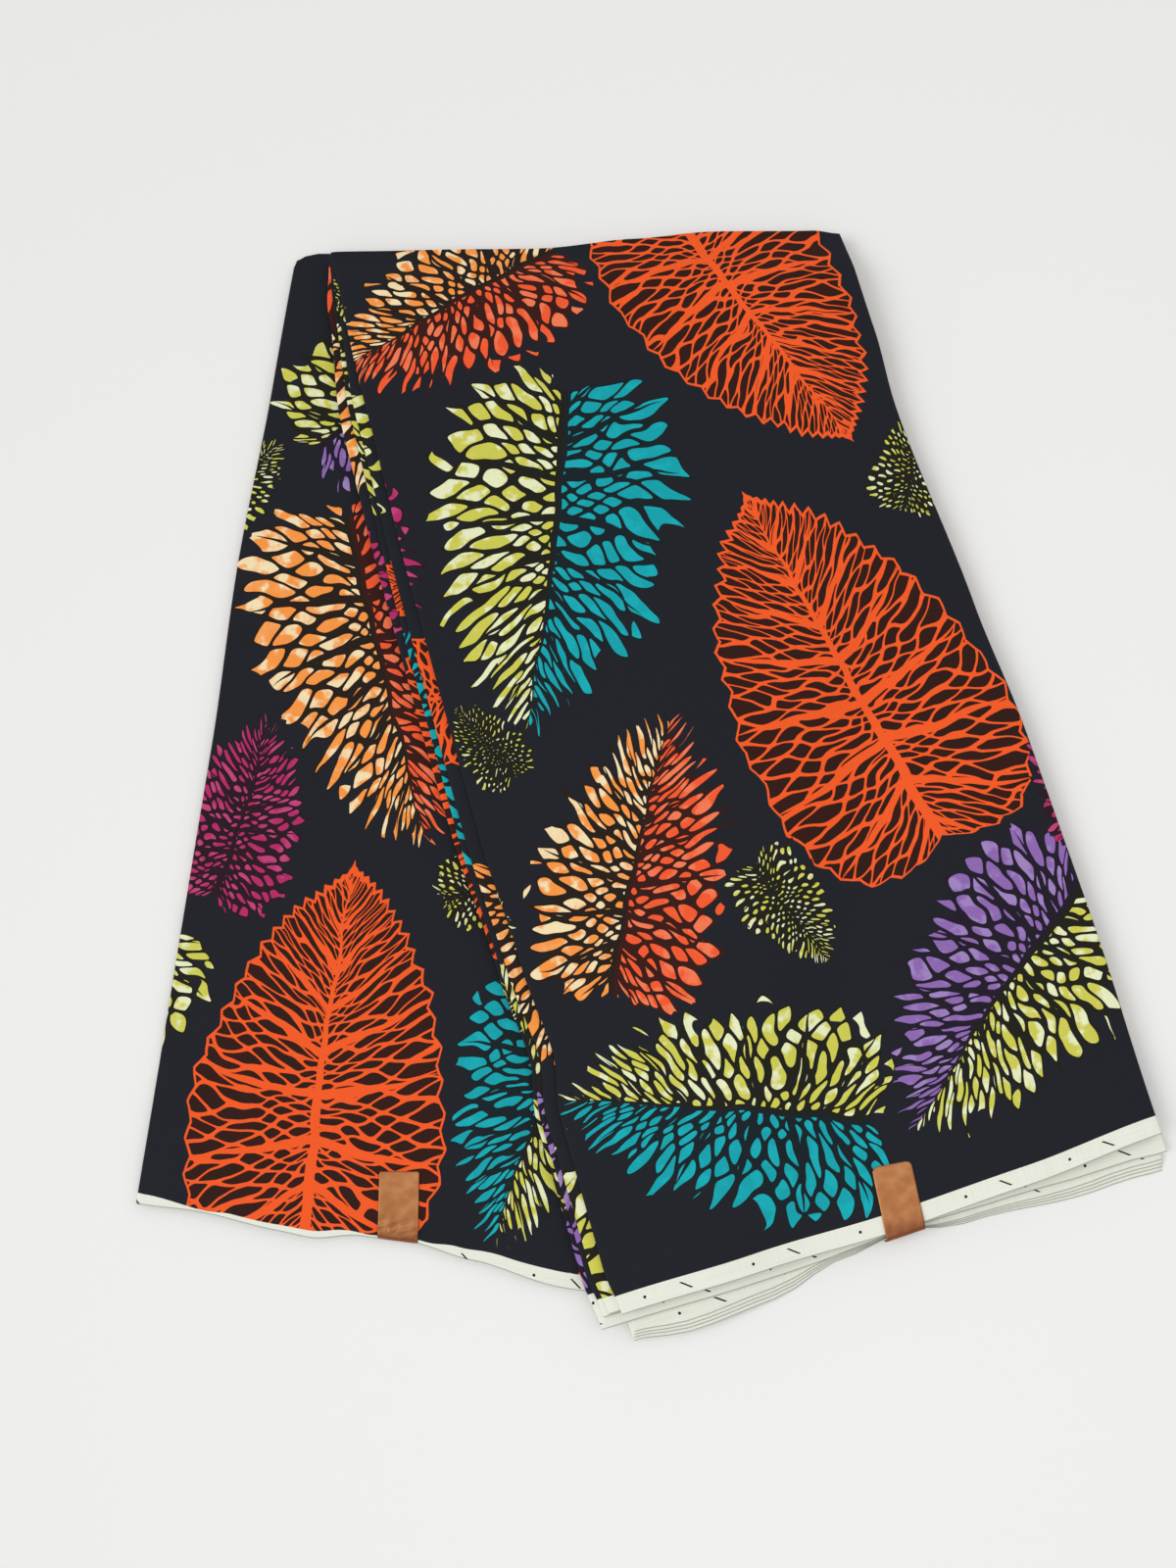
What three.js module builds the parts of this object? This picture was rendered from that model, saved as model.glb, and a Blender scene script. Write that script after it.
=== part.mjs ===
// A six-yard length of wax print cotton, folded in half along its middle, pleated back and forth into a
// flat bundle, and fanned into two leaves: a thin left bundle, and a thicker front bundle that lies
// across it. The middle fold is at the top (+Y) and both selvages meet at the hems below (-Y).
// Millimetres. +X is to the right, +Y runs towards the middle fold, and +Z is up from the surface.
import * as THREE from 'three';

// ---- Driving sizes ------------------------------------------------------------------------------
const CLEARANCE = 0.4; // between two layers that lie on each other
const COLUMNS = 13; // cells across a layer
const BODY_ROWS = 10; // cells along a layer, up to where it is pressed thin
const FOLD_ROWS = 4; // cells from there to the middle fold
const FOLD_SHARE = 0.05; // of a layer's length, the part that those cover
const NOSE_TURNS = [-50, 0, 50]; // degrees round a folded edge where it has a ring of points

// The front bundle. Corners are seen from above; a bow is how far an edge stands out past the straight
// line between its corners, "at" a share of the way along it. Sides run from the hem up, and hems and
// top folds run from left to right.
const FRONT = {
  hemLeft: [-17, -319],
  hemRight: [283, -223],
  topLeft: [-197, 318],
  topRight: [121, 331],
  left: [
    { at: 0, bow: 0 },
    { at: 0.04, bow: 3.4 },
    { at: 0.17, bow: 4 },
    { at: 0.22, bow: -1.5 },
    { at: 0.3, bow: 2.8 },
    { at: 0.42, bow: 6.4 },
    { at: 0.65, bow: 6.4 },
    { at: 0.84, bow: 4 },
    { at: 1, bow: 0 },
  ],
  right: [
    { at: 0, bow: 0 },
    { at: 0.24, bow: 4 },
    { at: 0.42, bow: 4.4 },
    { at: 0.56, bow: 1 },
    { at: 0.79, bow: -4 },
    { at: 0.88, bow: -1 },
    { at: 1, bow: 0 },
  ],
  hem: [
    { at: 0, bow: 0 },
    { at: 0.25, bow: 2 },
    { at: 0.5, bow: 4.6 },
    { at: 0.75, bow: 3.6 },
    { at: 1, bow: 0 },
  ],
  top: [
    { at: 0, bow: 0 },
    { at: 0.16, bow: -1 },
    { at: 0.41, bow: -3 },
    { at: 0.6, bow: 1.4 },
    { at: 0.74, bow: 4.3 },
    { at: 0.95, bow: 2.6 },
    { at: 1, bow: 0 },
  ],
};

// The left bundle, in the same terms. Its right edge is hidden beneath the front bundle.
const LEFT = {
  hemLeft: [-287.6, -261],
  hemRight: [3, -313],
  topLeft: [-220.5, 318.5],
  topRight: [95, 317],
  left: [
    { at: 0, bow: 0 },
    { at: 0.45, bow: 0.7 },
    { at: 0.65, bow: 3.4 },
    { at: 0.85, bow: 0.5 },
    { at: 0.99, bow: 0 },
    { at: 1, bow: -1 },
  ],
  right: [{ at: 0, bow: 0 }],
  hem: [
    { at: 0, bow: 0 },
    { at: 0.12, bow: -1.8 },
    { at: 0.27, bow: 0.5 },
    { at: 0.33, bow: 1 },
    { at: 0.43, bow: -5 },
    { at: 0.52, bow: -6.8 },
    { at: 0.64, bow: -3 },
    { at: 0.81, bow: 2.6 },
    { at: 1, bow: 0 },
  ],
  top: [
    { at: 0, bow: -1.5 },
    { at: 0.02, bow: 1.6 },
    { at: 0.04, bow: 3 },
    { at: 0.08, bow: 3 },
    { at: 0.2, bow: -3.4 },
    { at: 0.5, bow: -3.3 },
    { at: 1, bow: 0 },
  ],
};

const PRINTED = { color: 0x22232c, roughness: 0.75 };
const LABEL_FOIL = { color: 0xb97846, roughness: 0.4, metalness: 0.35 };

// Each bundle's layers from its lowest up. "left" and "hem" tables and "right" and "top" say how far past
// the bundle's outline that edge of the layer reaches. "folds" is how many fold noses show at its edges.
const LEFT_LAYERS = [
  {
    name: 'left_layers',
    thick: 2.3,
    folds: 2,
    left: [{ at: 0, past: -2 }],
    hem: [{ at: 0, past: -2.5 }],
    right: -1,
    top: -1.5,
  },
  {
    name: 'left_panel',
    thick: 2.1,
    folds: 1,
    left: [{ at: 0, past: 0 }],
    hem: [{ at: 0, past: 0 }],
    right: 0,
    top: 0,
  },
];
const FRONT_LAYERS = [
  {
    name: 'front_layers',
    thick: 2.4,
    folds: 2,
    left: [
      { at: 0, past: -2 },
      { at: 0.8, past: -2 },
      { at: 0.95, past: 4 },
      { at: 1, past: 1 },
    ],
    hem: [
      { at: 0, past: 14 },
      { at: 0.1, past: 17.5 },
      { at: 0.26, past: 14.5 },
      { at: 0.4, past: 5.4 },
      { at: 0.51, past: 1.8 },
      { at: 0.62, past: 7.8 },
      { at: 0.9, past: 15 },
      { at: 1, past: 17.5 },
    ],
    right: -2.5,
    top: -2,
  },
  {
    name: 'fold_lower',
    thick: 1.9,
    folds: 1,
    left: [
      { at: 0, past: 13 },
      { at: 0.3, past: 14 },
      { at: 0.55, past: 16.5 },
      { at: 0.82, past: 17.5 },
      { at: 0.94, past: 10 },
      { at: 1, past: 3 },
    ],
    hem: [
      { at: 0, past: 5.2 },
      { at: 0.3, past: 5.4 },
      { at: 0.51, past: 1 },
      { at: 0.73, past: 3.6 },
      { at: 0.9, past: 7.5 },
      { at: 1, past: 10.5 },
    ],
    right: 1.5,
    top: -1,
  },
  {
    name: 'fold_middle',
    thick: 1.9,
    folds: 1,
    left: [
      { at: 0, past: 10 },
      { at: 0.3, past: 12 },
      { at: 0.55, past: 12 },
      { at: 0.82, past: 11 },
      { at: 0.94, past: 6 },
      { at: 1, past: 2 },
    ],
    hem: [{ at: 0, past: -1 }],
    right: -1,
    top: 0.5,
  },
  {
    name: 'fold_upper',
    thick: 1.9,
    folds: 1,
    left: [
      { at: 0, past: 7 },
      { at: 0.3, past: 8.5 },
      { at: 0.82, past: 7.5 },
      { at: 0.94, past: 3.5 },
      { at: 1, past: 1 },
    ],
    hem: [{ at: 0, past: -2 }],
    right: 0.8,
    top: -0.5,
  },
  {
    name: 'front_panel',
    thick: 2.2,
    folds: 1,
    left: [{ at: 0, past: 0 }],
    hem: [{ at: 0, past: 0 }],
    right: 0,
    top: 0,
  },
];

// Towards the middle fold a bundle is pressed thinner.
const PRESSED_SHARE = 0.65; // of the full thickness, at the fold
const PRESSED_REACH = 30; // how far the pressing reaches
// Right of the left bundle's edge the front bundle comes down to the surface.
const RAMP_START = 26;
const RAMP_REACH = 60;

// Foil labels, folded over the hems. "bend" and "drop" are how far along and down each one turns at
// the hem. "along" is the share of the hem, and "turn" is about +Z.
const LABEL = { width: 22.4, onTop: 37, past: 5.2, thick: 0.6, bend: 1, drop: 2, footing: 0.9 };
const BEND_STEPS = 4;
const LABELS = [
  { name: 'label_left', bundle: LEFT, along: 0.492, turn: 0 },
  { name: 'label_front', bundle: FRONT, along: 0.513, turn: 10.5 },
];

const ROWS = BODY_ROWS + FOLD_ROWS;

// ---- Shapes seen from above ---------------------------------------------------------------------
const smooth = (share) => THREE.MathUtils.smoothstep(share, 0, 1);

// The value of a table's column at a share of the way along, eased from each row to the next.
function along(table, column, share) {
  const next = table.findIndex((row) => row.at > share);
  if (next <= 0) return table.at(next)[column];
  const [before, after] = [table[next - 1], table[next]];
  const eased = smooth((share - before.at) / (after.at - before.at));
  return THREE.MathUtils.lerp(before[column], after[column], eased);
}

// The direction that is outwards from the line between two corners. "side" is 1 where that is to the
// right of the way from the first to the second, and -1 where it is to the left.
function outwardsFrom(from, to, side) {
  return new THREE.Vector2(to[1] - from[1], from[0] - to[0]).normalize().multiplyScalar(side);
}

// A point on the line between two corners, moved out past it.
function edgePoint(from, to, share, out, side) {
  const point = new THREE.Vector2(...from).lerp(new THREE.Vector2(...to), share);
  return point.addScaledVector(outwardsFrom(from, to, side), out);
}

// A bundle's grid of points from above, row by row from the hem, filled in between its four edges.
function bundleGrid(bundle) {
  const { hemLeft, hemRight, topLeft, topRight } = bundle;
  const hem = (s) => edgePoint(hemLeft, hemRight, s, along(bundle.hem, 'bow', s), 1);
  const top = (s) => edgePoint(topLeft, topRight, s, along(bundle.top, 'bow', s), -1);
  const left = (s) => edgePoint(hemLeft, topLeft, s, along(bundle.left, 'bow', s), -1);
  const right = (s) => edgePoint(hemRight, topRight, s, along(bundle.right, 'bow', s), 1);
  const chord = (from, to, s) => new THREE.Vector2(...from).lerp(new THREE.Vector2(...to), s);
  const grid = [];
  for (let row = 0; row <= ROWS; row += 1) {
    const up = rowShare(row);
    for (let column = 0; column <= COLUMNS; column += 1) {
      const across = column / COLUMNS;
      const sides = left(up).lerp(right(up), across);
      const ends = hem(across).lerp(top(across), up);
      const straight = chord(hemLeft, hemRight, across).lerp(chord(topLeft, topRight, across), up);
      grid.push(sides.add(ends).sub(straight));
    }
  }
  return grid;
}

// How far up a bundle a row of its grid lies: the rows are close together near the middle fold.
function rowShare(row) {
  if (row <= BODY_ROWS) return (row / BODY_ROWS) * (1 - FOLD_SHARE);
  return 1 - FOLD_SHARE * (1 - (row - BODY_ROWS) / FOLD_ROWS);
}

// ---- Heights ------------------------------------------------------------------------------------
const stackHeight = (layers) =>
  layers.reduce((sum, layer) => sum + layer.thick + CLEARANCE, 0);
const LEFT_HEIGHT = stackHeight(LEFT_LAYERS);

// How thick a bundle is at a point, as a share of its full thickness.
function pressed({ x, y }) {
  const share = (x - FRONT.topLeft[0]) / (FRONT.topRight[0] - FRONT.topLeft[0]);
  const fold = THREE.MathUtils.lerp(FRONT.topLeft[1], FRONT.topRight[1], share);
  return THREE.MathUtils.lerp(PRESSED_SHARE, 1, smooth((fold - y) / PRESSED_REACH));
}

// The height that the front bundle rests on: the left bundle's top, then down to the surface.
function frontRest(point) {
  const { x, y } = point;
  const [x0, y0] = LEFT.hemRight;
  const [x1, y1] = LEFT.topRight;
  const rightOf = ((x - x0) * (y1 - y0) - (y - y0) * (x1 - x0)) / Math.hypot(x1 - x0, y1 - y0);
  const down = smooth((rightOf - RAMP_START) / RAMP_REACH);
  return LEFT_HEIGHT * pressed(point) * (1 - down);
}

// ---- Solids -------------------------------------------------------------------------------------
const cell = (column, row) => row * (COLUMNS + 1) + column;

// The grid points of a bundle's outline, anticlockwise from the hem's left corner. Each has its way
// outwards, which the folded edges bulge along. The cut hem doesn't bulge.
function outlineOf(grid) {
  const indices = [];
  for (let column = 0; column < COLUMNS; column += 1) indices.push(cell(column, 0));
  for (let row = 0; row < ROWS; row += 1) indices.push(cell(COLUMNS, row));
  for (let column = COLUMNS; column > 0; column -= 1) indices.push(cell(column, ROWS));
  for (let row = ROWS; row > 0; row -= 1) indices.push(cell(0, row));
  return indices.map((index, place) => {
    const before = grid[indices.at(place - 1)];
    const after = grid[indices[(place + 1) % indices.length]];
    const bulge = new THREE.Vector2(after.y - before.y, before.x - after.x).normalize();
    return { index, bulge: index <= COLUMNS ? new THREE.Vector2() : bulge };
  });
}

// A layer's own grid: the bundle's, with each edge moved out by as much as it reaches past the outline.
function layerGrid(bundle, grid, layer) {
  const { hemLeft, hemRight, topLeft, topRight } = bundle;
  const spread = grid.map((point) => point.clone());
  for (let column = 0; column <= COLUMNS; column += 1) {
    const past = along(layer.hem, 'past', column / COLUMNS);
    spread[cell(column, 0)].addScaledVector(outwardsFrom(hemLeft, hemRight, 1), past);
    spread[cell(column, ROWS)].addScaledVector(outwardsFrom(topLeft, topRight, -1), layer.top);
  }
  for (let row = 0; row <= ROWS; row += 1) {
    const past = along(layer.left, 'past', rowShare(row));
    spread[cell(0, row)].addScaledVector(outwardsFrom(hemLeft, topLeft, -1), past);
    spread[cell(COLUMNS, row)].addScaledVector(outwardsFrom(hemRight, topRight, 1), layer.right);
  }
  return spread;
}

// The heights of the rings of a layer's folded edge, as shares of its thickness, and how far each
// stands out: one rounded nose for each fold.
function noseRings(layer) {
  const radius = layer.thick / layer.folds / 2;
  const rings = [];
  for (let fold = 0; fold < layer.folds; fold += 1) {
    for (const turn of NOSE_TURNS) {
      const angle = THREE.MathUtils.degToRad(turn);
      const level = (fold + (1 + Math.sin(angle)) / 2) / layer.folds;
      rings.push({ level, out: radius * Math.cos(angle) });
    }
  }
  return rings;
}

// A closed layer: its grid below, rings of folded edge, and its grid above. "floorAt" is its lower
// height at a point and "thickAt" its thickness there.
function layerGeometry(bundle, grid, layer, floorAt, thickAt) {
  const spread = layerGrid(bundle, grid, layer);
  const outline = outlineOf(grid);
  const positions = [];
  const put = (index, point, level) => {
    positions.push(point.x, point.y, floorAt(spread[index]) + level * thickAt(spread[index]));
  };
  spread.forEach((point, index) => put(index, point, 0));
  for (const { level, out } of noseRings(layer)) {
    for (const { index, bulge } of outline) {
      put(index, spread[index].clone().addScaledVector(bulge, out), level);
    }
  }
  spread.forEach((point, index) => put(index, point, 1));

  const triangles = [];
  const quad = (a, b, c, d) => triangles.push(a, b, c, a, c, d);
  const upper = positions.length / 3 - grid.length;
  for (let row = 0; row < ROWS; row += 1) {
    for (let column = 0; column < COLUMNS; column += 1) {
      const [a, b] = [cell(column, row), cell(column + 1, row)];
      const [c, d] = [cell(column + 1, row + 1), cell(column, row + 1)];
      quad(upper + a, upper + b, upper + c, upper + d);
      quad(a, d, c, b);
    }
  }
  const loops = [
    outline.map(({ index }) => index),
    ...noseRings(layer).map((_, ring) =>
      outline.map((_, place) => grid.length + ring * outline.length + place)
    ),
    outline.map(({ index }) => upper + index),
  ];
  for (let loop = 0; loop + 1 < loops.length; loop += 1) {
    const [low, high] = [loops[loop], loops[loop + 1]];
    low.forEach((_, here) => {
      const next = (here + 1) % low.length;
      quad(low[here], low[next], high[next], high[here]);
    });
  }

  const geometry = new THREE.BufferGeometry();
  geometry.setAttribute('position', new THREE.Float32BufferAttribute(positions, 3));
  geometry.setIndex(triangles);
  geometry.computeVertexNormals();
  return geometry;
}

// One bundle's layers, each resting on the one before.
function bundleMeshes(bundle, layers, restAt) {
  const grid = bundleGrid(bundle);
  let below = 0;
  return layers.map((layer) => {
    const from = below;
    below += layer.thick + CLEARANCE;
    const floorAt = (point) => restAt(point) + from * pressed(point);
    const thickAt = (point) => layer.thick * pressed(point);
    return namedMesh(layer.name, layerGeometry(bundle, grid, layer, floorAt, thickAt), PRINTED);
  });
}

// A label's bent strip, drawn from the side and extruded across its width. It lies on the top panel,
// turns over the hem and runs down in front of the layers' cut edges.
function labelMesh({ name, bundle, along: share, turn }) {
  const { width, onTop, past, thick, bend, drop, footing } = LABEL;
  // A stack's height ends in a clearance, so the label lies that far above the top panel.
  const under = bundle === LEFT ? LEFT_HEIGHT : stackHeight(FRONT_LAYERS);
  const over = under + thick;
  const outer = -past - thick;
  const side = new THREE.Shape();
  side.moveTo(onTop, under);
  side.lineTo(onTop, over);
  side.lineTo(-past + bend, over);
  side.quadraticCurveTo(outer, over, outer, under - drop);
  side.lineTo(outer, footing);
  side.lineTo(-past, footing);
  side.lineTo(-past, under - drop);
  side.quadraticCurveTo(-past, under, -past + bend, under);
  side.closePath();
  const extrusion = { depth: width, bevelEnabled: false, curveSegments: BEND_STEPS };
  const geometry = new THREE.ExtrudeGeometry(side, extrusion);
  // The drawing's x runs up the cloth and its y runs up from the surface.
  geometry.translate(0, 0, -width / 2);
  geometry.rotateX(Math.PI / 2);
  geometry.rotateZ(Math.PI / 2);
  const mesh = namedMesh(name, geometry, LABEL_FOIL);
  const edge = edgePoint(bundle.hemLeft, bundle.hemRight, share, along(bundle.hem, 'bow', share), 1);
  mesh.position.set(edge.x, edge.y, 0);
  mesh.rotation.z = THREE.MathUtils.degToRad(turn);
  return mesh;
}

function namedMesh(name, geometry, finish) {
  const mesh = new THREE.Mesh(geometry, new THREE.MeshStandardMaterial(finish));
  mesh.name = name;
  return mesh;
}

// ---- The folded cloth ---------------------------------------------------------------------------
const group = new THREE.Group();
group.add(...bundleMeshes(LEFT, LEFT_LAYERS, () => 0));
group.add(...bundleMeshes(FRONT, FRONT_LAYERS, frontRest));
group.add(...LABELS.map(labelMesh));

export default group;
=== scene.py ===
# The looks of a folded bundle of wax print cotton, built around its CAD frame: a thin left bundle, a
# thicker front bundle that lies across it, and two foil labels over the hems. Sizes are in millimetres
# until a mesh is made. +X is to the right, +Y runs up the cloth to the middle fold, and +Z is up.
import math

import bmesh
import bpy
import numpy as np
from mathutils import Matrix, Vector


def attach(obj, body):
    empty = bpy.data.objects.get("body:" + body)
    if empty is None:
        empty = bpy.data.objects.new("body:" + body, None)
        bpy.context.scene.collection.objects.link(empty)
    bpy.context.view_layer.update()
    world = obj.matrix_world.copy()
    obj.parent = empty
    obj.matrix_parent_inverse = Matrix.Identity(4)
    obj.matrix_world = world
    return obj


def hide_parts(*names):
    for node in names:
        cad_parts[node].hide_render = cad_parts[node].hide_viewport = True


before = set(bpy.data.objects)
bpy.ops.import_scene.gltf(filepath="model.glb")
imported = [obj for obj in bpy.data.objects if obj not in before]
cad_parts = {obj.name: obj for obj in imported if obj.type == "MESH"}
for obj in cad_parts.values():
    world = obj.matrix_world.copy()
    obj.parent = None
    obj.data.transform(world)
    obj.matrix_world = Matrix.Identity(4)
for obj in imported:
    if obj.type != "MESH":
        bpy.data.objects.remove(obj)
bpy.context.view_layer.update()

MM = 0.001

# ---- Camera --------------------------------------
# The view tilts a little from straight down, and its frame is 1200 by 1600.
CAMERA_AIM = (-0.0365, -0.023, 0.012)
CAMERA_DISTANCE = 1.0
CAMERA_TILT = math.radians(12.5)
SENSOR = 36.0
LENS = 39.375

# ---- The two bundles, seen from above ------------
# Corners, and how far each edge bows out past the straight line between them, "at" a share of the way
# along it. Sides run from the hem up, and hems and top folds run from left to right. "turn" is the way
# that the cloth's own up leans to the left, in degrees.
FRONT = {
    "hem_left": (-17, -319),
    "hem_right": (283, -223),
    "top_left": (-197, 318),
    "top_right": (121, 331),
    "turn": 16.2,
    "left": {
        "at": (0, 0.04, 0.17, 0.22, 0.3, 0.42, 0.65, 0.84, 1),
        "bow": (0, 3.4, 4, -1.5, 2.8, 6.4, 6.4, 4, 0),
    },
    "right": {"at": (0, 0.24, 0.42, 0.56, 0.79, 0.88, 1), "bow": (0, 4, 4.4, 1, -4, -1, 0)},
    "hem": {"at": (0, 0.25, 0.5, 0.75, 1), "bow": (0, 2, 4.6, 3.6, 0)},
    "top": {"at": (0, 0.16, 0.41, 0.6, 0.74, 0.95, 1), "bow": (0, -1, -3, 1.4, 4.3, 2.6, 0)},
}
LEFT = {
    "hem_left": (-287.6, -261),
    "hem_right": (3, -313),
    "top_left": (-220.5, 318.5),
    "top_right": (95, 317),
    "turn": -8.4,
    "left": {"at": (0, 0.45, 0.65, 0.85, 0.99, 1), "bow": (0, 0.7, 3.4, 0.5, 0, -1)},
    "right": {"at": (0, 1), "bow": (0, 0)},
    "hem": {
        "at": (0, 0.12, 0.27, 0.33, 0.43, 0.52, 0.64, 0.81, 1),
        "bow": (0, -1.8, 0.5, 1, -5, -6.8, -3, 2.6, 0),
    },
    "top": {"at": (0, 0.02, 0.04, 0.08, 0.2, 0.5, 1), "bow": (-1.5, 1.6, 3, 3, -3.4, -3.3, 0)},
}
# Each edge's two corners, and 1 where outwards is to the right of the way between them.
EDGES = {
    "hem": ("hem_left", "hem_right", 1),
    "top": ("top_left", "top_right", -1),
    "left": ("hem_left", "top_left", -1),
    "right": ("hem_right", "top_right", 1),
}
CLEARANCE = 0.4  # between two layers that lie on each other
FOLD_GAP = 0.05  # between two folds of one layer
REACH_SIDE = 1 / 13  # share of the width over which a layer's own reach fades out
REACH_HEM = 0.095  # the same up from the hem
REACH_TOP = 0.0125  # the same down from the middle fold
PRESSED_SHARE = 0.65  # of the full thickness, at the middle fold
PRESSED_REACH = 30  # how far down from there a bundle is pressed
RAMP_START = 26  # right of the left bundle's edge, where the front bundle starts down to the surface
RAMP_REACH = 60  # how far across it comes down

# ---- The layers, from each bundle's lowest up ----
# "left" and "hem" tables, "right" and "top" say how far past the bundle's outline that edge reaches.
# "cut" is the flat width and length of what shows, in metres, once for each fold in the layer. "slips"
# are how far its folds have slipped, and a hem's "slip" is the share of that at the hem. "selvage" is the
# width of the unprinted band along the hem. "shift" moves the print along and up the cloth. "across" and
# "up" are spans of cells: where each starts and ends, in shares of the layer, and how many it has. A
# "creased" layer has the creases and waves.
HIDDEN = {
    "across": ((0, 0.06, 6), (0.06, 0.94, 22), (0.94, 1, 6)),
    "up": ((0, 0.05, 8), (0.05, 0.95, 70), (0.95, 1, 12)),
    "creased": False,
}
STRIP = {
    "across": ((0, 0.09, 12), (0.09, 0.94, 16), (0.94, 1, 6)),
    "up": ((0, 0.06, 10), (0.06, 0.95, 110), (0.95, 1, 14)),
    "creased": False,
    "thick": 1.9,
    "cut": (0.33, 0.62),
    "slips": (0,),
}
PANEL = {
    "across": ((0, 0.03, 6), (0.03, 0.97, 90), (0.97, 1, 6)),
    "up": ((0, 0.02, 6), (0.02, 0.95, 160), (0.95, 1, 20)),
    "creased": True,
    "slips": (0,),
    "left": {"at": (0, 1), "past": (0, 0)},
    "hem": {"at": (0, 1), "past": (0, 0)},
    "right": 0,
    "top": 0,
}
LEFT_LAYERS = [
    {
        **HIDDEN,
        "name": "left_layers",
        "thick": 2.3,
        "cut": (1.22, 0.61),
        "slips": (1.2, -0.8, 0.9, -1.6),
        "left": {"at": (0, 1), "past": (-2, -2)},
        "hem": {"at": (0, 1), "past": (-2.5, -2.5), "slip": (1, 1)},
        "right": -1,
        "top": -1.5,
        "selvage": {"at": (0, 1), "wide": (12, 12)},
        "shift": (250, 180),
    },
    {
        **PANEL,
        "name": "left_panel",
        "thick": 2.1,
        "cut": (0.305, 0.605),
        "selvage": {
            "at": (0, 0.01, 0.13, 0.18, 0.37, 0.44, 0.55, 0.61, 0.7, 0.8, 1),
            "wide": (5.9, 5.7, 1.2, 2.8, 3.9, 1.3, 1.9, 5.2, 6.7, 8.3, 8),
        },
        "shift": (-335, 0),
    },
]
FRONT_LAYERS = [
    {
        **HIDDEN,
        "name": "front_layers",
        "thick": 2.4,
        "cut": (1.26, 0.63),
        "slips": (2.4, 0.4, -1.4, -3.4),
        "left": {"at": (0, 0.8, 0.95, 1), "past": (-2, -2, 4, 1)},
        "hem": {
            "at": (0, 0.1, 0.26, 0.4, 0.51, 0.62, 0.9, 1),
            "past": (14, 17.5, 14.5, 5.4, 1.8, 7.8, 15, 17.5),
            "slip": (0.8, 1, 1, 0.5, 0, 0.5, 1, 1),
        },
        "right": -2.5,
        "top": -2,
        "selvage": {"at": (0, 1), "wide": (30, 30)},
        "shift": (120, 260),
    },
    {
        **STRIP,
        "name": "fold_lower",
        "left": {"at": (0, 0.3, 0.55, 0.82, 0.94, 1), "past": (13, 14, 16.5, 17.5, 10, 3)},
        "hem": {"at": (0, 0.3, 0.51, 0.73, 0.9, 1), "past": (5.2, 5.4, 1, 3.6, 7.5, 10.5)},
        "right": 1.5,
        "top": -1,
        "selvage": {"at": (0, 1), "wide": (20, 20)},
        "shift": (400, 440),
    },
    {
        **STRIP,
        "name": "fold_middle",
        "left": {"at": (0, 0.3, 0.55, 0.82, 0.94, 1), "past": (10, 12, 12, 11, 6, 2)},
        "hem": {"at": (0, 1), "past": (-1, -1)},
        "right": -1,
        "top": 0.5,
        "selvage": {"at": (0, 1), "wide": (10, 10)},
        "shift": (570, 205),
    },
    {
        **STRIP,
        "name": "fold_upper",
        "left": {"at": (0, 0.3, 0.82, 0.94, 1), "past": (7, 8.5, 7.5, 3.5, 1)},
        "hem": {"at": (0, 1), "past": (-2, -2)},
        "right": 0.8,
        "top": -0.5,
        "selvage": {"at": (0, 1), "wide": (9, 9)},
        "shift": (618, 270),
    },
    {
        **PANEL,
        "name": "front_panel",
        "thick": 2.2,
        "cut": (0.318, 0.62),
        "selvage": {"at": (0, 1), "wide": (10.3, 10.3)},
        "shift": (0, 0),
    },
]

# A layer's height in shares of its thickness: rings round a folded edge, and the plies at a cut hem.
LEVELS = (0, 0.05, 0.2, 0.35, 0.5, 0.65, 0.8, 0.95, 1)
PLY_LEVELS = (0.2, 0.8)  # the inner faces of the lower and the upper ply
SLIT_DEPTH = 12  # how far the slit between two plies goes in from the hem
SIDE_SLIP = 1 / 3  # share of a fold's slip that its sides and its middle fold take
BARE = 50  # how far outside the print its cut edges count as
# The flat layout has this room for each ply, and a cut hem's rows and a fold's ends run on in it.
FLAT_SIZE = (680, 720)
HEM_RUN = 0.1
END_RUN = 0.2
WELDED = 0.005  # points that are nearer to each other are joined
SHARP = 50  # degrees between two faces from which the edge between them is sharp

# Creases of the top panels: soft ridges and troughs (below 0) between two points seen from above.
CREASES = [
    {"from": (-78, -150), "to": (-66, -178), "high": 0.5, "wide": 3},
    {"from": (-120, 300), "to": (-84, 330), "high": 0.5, "wide": 5},
    {"from": (-104, 306), "to": (-92, 331), "high": -0.5, "wide": 4},
    {"from": (98, 322), "to": (125, 262), "high": 0.7, "wide": 5},
    {"from": (90, 326), "to": (112, 300), "high": -0.5, "wide": 4},
    {"from": (150, 190), "to": (142, 120), "high": 0.45, "wide": 8},
    {"from": (262, -130), "to": (236, -196), "high": 0.5, "wide": 10},
    {"from": (40, -285), "to": (64, -225), "high": -0.4, "wide": 9},
    {"from": (-236, 250), "to": (-243, 150), "high": 0.5, "wide": 7},
    {"from": (-262, -120), "to": (-240, -190), "high": 0.45, "wide": 9},
    {"from": (-200, -262), "to": (-170, -205), "high": -0.4, "wide": 10},
    {"from": (-60, -292), "to": (-82, -238), "high": 0.5, "wide": 9},
]
# Long gentle waves that the whole cloth has: length, direction in degrees, height.
WAVES = [
    {"long": 210, "towards": 70, "high": 0.22},
    {"long": 135, "towards": -25, "high": 0.16},
    {"long": 83, "towards": 20, "high": 0.08},
]

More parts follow.
